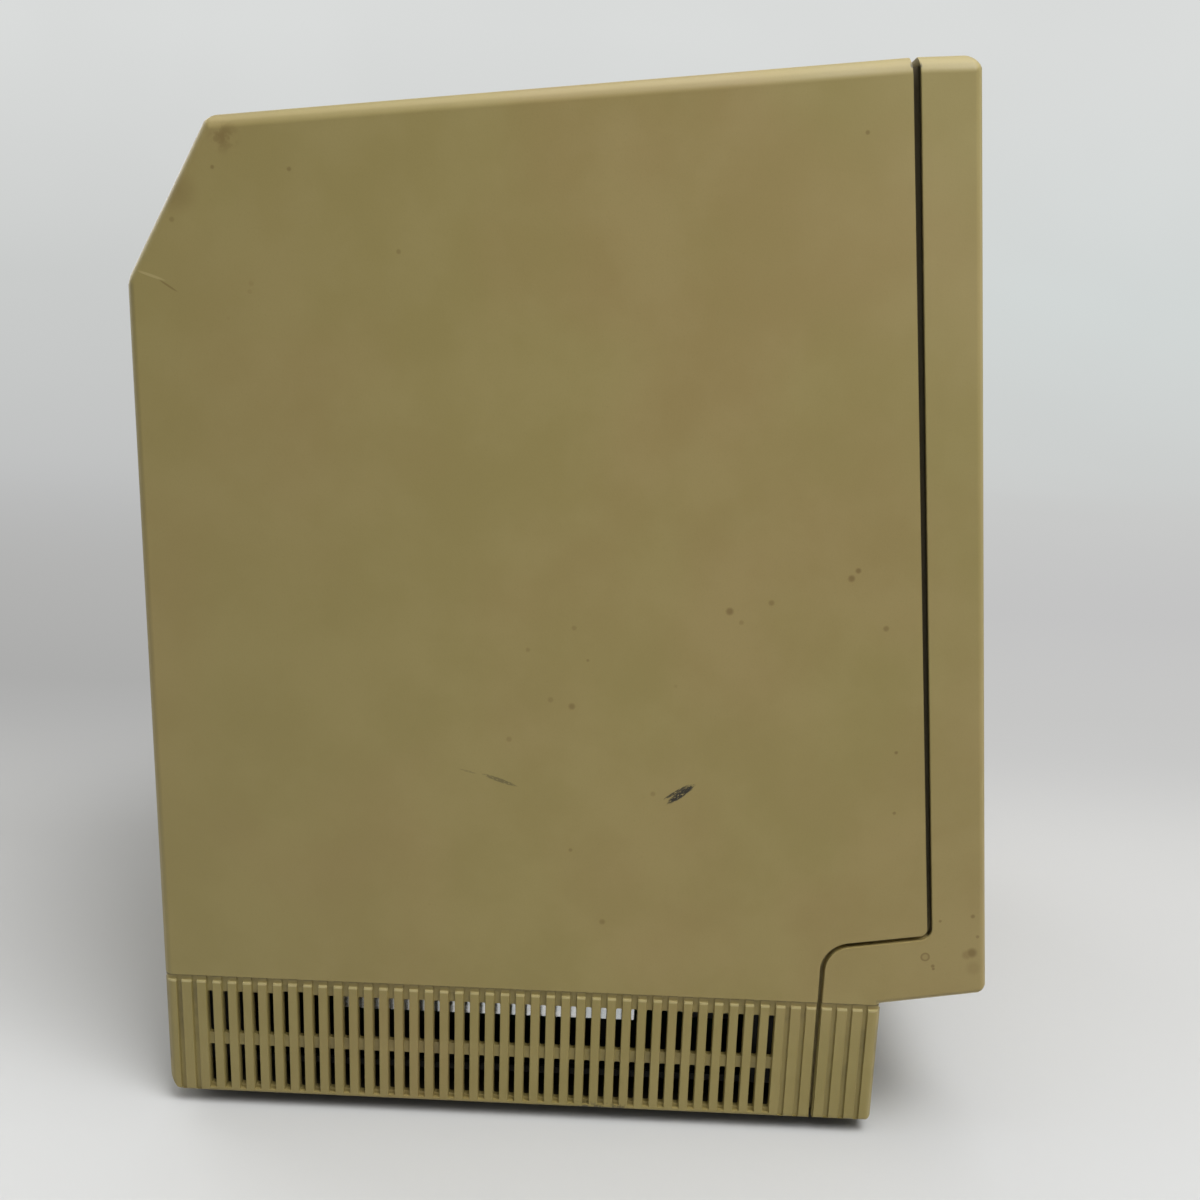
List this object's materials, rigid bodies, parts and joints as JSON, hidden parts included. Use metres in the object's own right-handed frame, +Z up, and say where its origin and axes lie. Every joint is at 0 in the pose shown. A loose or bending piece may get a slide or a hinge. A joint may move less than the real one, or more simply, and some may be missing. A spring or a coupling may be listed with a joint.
{
  "type": "vintage home computer",
  "caption": "Compact all-in-one home computer with a leaning case, a picture tube, a ribbed and vented base, a disk slot and a carrying handle.",
  "frame": {"origin": "on the floor plane under the middle of the case's bounding box, at the bottom of the feet", "axes": "+Z up, +Y towards the rear face with the sockets, the screen faces -Y, +X to the right of someone who looks at the screen"},
  "size_m": [0.244, 0.2766, 0.345],
  "materials": {
    "rear_shell": "aged olive-beige moulded plastic, fine satin grain, patchy yellowing",
    "front_shell": "aged beige moulded plastic, slightly lighter than the rear shell, fine satin grain",
    "foot_rubber": "dark matt rubber",
    "cap_rubber": "black silicone rubber",
    "dark_steel": "blackened steel",
    "bright_steel": "plated steel",
    "zinc_sheet": "zinc plated sheet with a faint spangle",
    "cast_metal": "cast and machined aluminium",
    "platter_mirror": "polished disk surface",
    "tube_glass": "smoked grey-green picture tube glass",
    "copper_winding": "lacquered copper wire",
    "brown_board": "phenolic circuit board",
    "green_board": "glass-epoxy circuit board with green solder mask",
    "dark_plastic": "dark moulded plastic",
    "grey_plastic": "grey moulded plastic",
    "speaker_black": "black stamped steel and paper cone",
    "red_lead": "dark red silicone insulation",
    "grey_lead": "grey insulation",
    "amber_lens": "clear amber lens"
  },
  "bodies": {
    "computer": {"rear_housing": "rear_shell", "front_bezel": "front_shell", "expansion_cover": "rear_shell", "badge_plate": "front_shell", "foot_rear_left": "foot_rubber", "foot_rear_right": "foot_rubber", "foot_front_left": "foot_rubber", "foot_front_right": "foot_rubber", "case_screw_lower_left": "dark_steel", "case_screw_lower_right": "dark_steel", "case_screw_upper_left": "dark_steel", "case_screw_upper_right": "dark_steel", "crt_tube": "tube_glass", "crt_band": "bright_steel", "deflection_yoke": "copper_winding", "neck_board": "brown_board", "anode_cap": "cap_rubber", "anode_lead": "red_lead", "yoke_lead": "grey_lead", "speaker": "speaker_black", "hard_disk_light": "amber_lens", "chassis_frame": "zinc_sheet", "analog_board": "brown_board", "flyback_transformer": "dark_plastic", "power_supply_cover": "zinc_sheet", "drive_cage": "zinc_sheet", "power_harness": "grey_lead", "floppy_ribbon": "grey_lead", "hard_disk_ribbon": "grey_lead", "logic_board": "green_board", "processor_chip": "dark_plastic", "clock_battery": "grey_plastic", "memory_module_1": "green_board", "memory_module_2": "green_board", "keyboard_port": "dark_plastic", "mouse_port": "dark_plastic", "floppy_port": "bright_steel", "disk_chain_port": "bright_steel", "printer_port": "dark_plastic", "modem_port": "dark_plastic", "sound_jack": "dark_plastic", "floppy_chassis": "zinc_sheet", "floppy_stepper_motor": "bright_steel", "floppy_eject_motor": "dark_plastic", "hard_disk_base": "cast_metal", "hard_disk_cover": "bright_steel", "fan_housing": "dark_plastic", "power_inlet": "dark_plastic", "power_switch_frame": "dark_plastic", "brightness_pot": "grey_plastic"},
    "rocker": {"power_rocker": "dark_plastic"},
    "wheel": {"brightness_wheel": "front_shell"},
    "fan": {"fan_rotor": "dark_plastic"},
    "disk_spindle": {"floppy_spindle": "cast_metal"},
    "carriage": {"floppy_head_carriage": "grey_plastic"},
    "lead_screw": {"floppy_lead_screw": "bright_steel"},
    "disk_carrier": {"floppy_disk_carrier": "bright_steel"},
    "eject_slider": {"floppy_eject_slider": "bright_steel"},
    "platters": {"hard_disk_platters": "platter_mirror"},
    "head_arm": {"hard_disk_head_arm": "cast_metal"}
  },
  "joints": [
    {"name": "power_switch", "type": "hinge", "parent": "computer", "child": "rocker", "pos_m": [-0.084, 0.1283, 0.141], "axis": [-1, 0, 0], "range_deg": [0, 20]},
    {"name": "brightness", "type": "hinge", "parent": "computer", "child": "wheel", "pos_m": [-0.074, -0.0957, 0.034], "axis": [0, 0, 1], "range_deg": [-135, 135]},
    {"name": "fan_spin", "type": "hinge", "parent": "computer", "child": "fan", "pos_m": [-0.0826, 0.1098, 0.249], "axis": [0, 1, 0], "continuous": true},
    {"name": "disk_spin", "type": "hinge", "parent": "computer", "child": "disk_spindle", "pos_m": [0.052, -0.0667, 0.0753], "axis": [0, 0, 1], "continuous": true},
    {"name": "head_travel", "type": "slide", "parent": "computer", "child": "carriage", "axis": [0, -1, 0], "range_m": [0, 0.015]},
    {"name": "lead_screw_turn", "type": "hinge", "parent": "computer", "child": "lead_screw", "pos_m": [0.07, 0, 0.0776], "axis": [0, 1, 0], "range_deg": [0, 1800]},
    {"name": "disk_lowering", "type": "slide", "parent": "computer", "child": "disk_carrier", "axis": [0, 0, -1], "range_m": [0, 0.005]},
    {"name": "eject_travel", "type": "slide", "parent": "computer", "child": "eject_slider", "axis": [0, -1, 0], "range_m": [0, 0.006]},
    {"name": "platter_spin", "type": "hinge", "parent": "computer", "child": "platters", "pos_m": [0.052, -0.0462, 0.1193], "axis": [0, 0, 1], "continuous": true},
    {"name": "head_swing", "type": "hinge", "parent": "computer", "child": "head_arm", "pos_m": [0.088, 0.0198, 0.1193], "axis": [0, 0, -1], "range_deg": [0, 18]}
  ],
  "couplings": [
    {"joint": "lead_screw_turn", "follows": "head_travel", "rad_per_m": 2094.4},
    {"joint": "eject_travel", "follows": "disk_lowering", "ratio": 1.2}
  ]
}
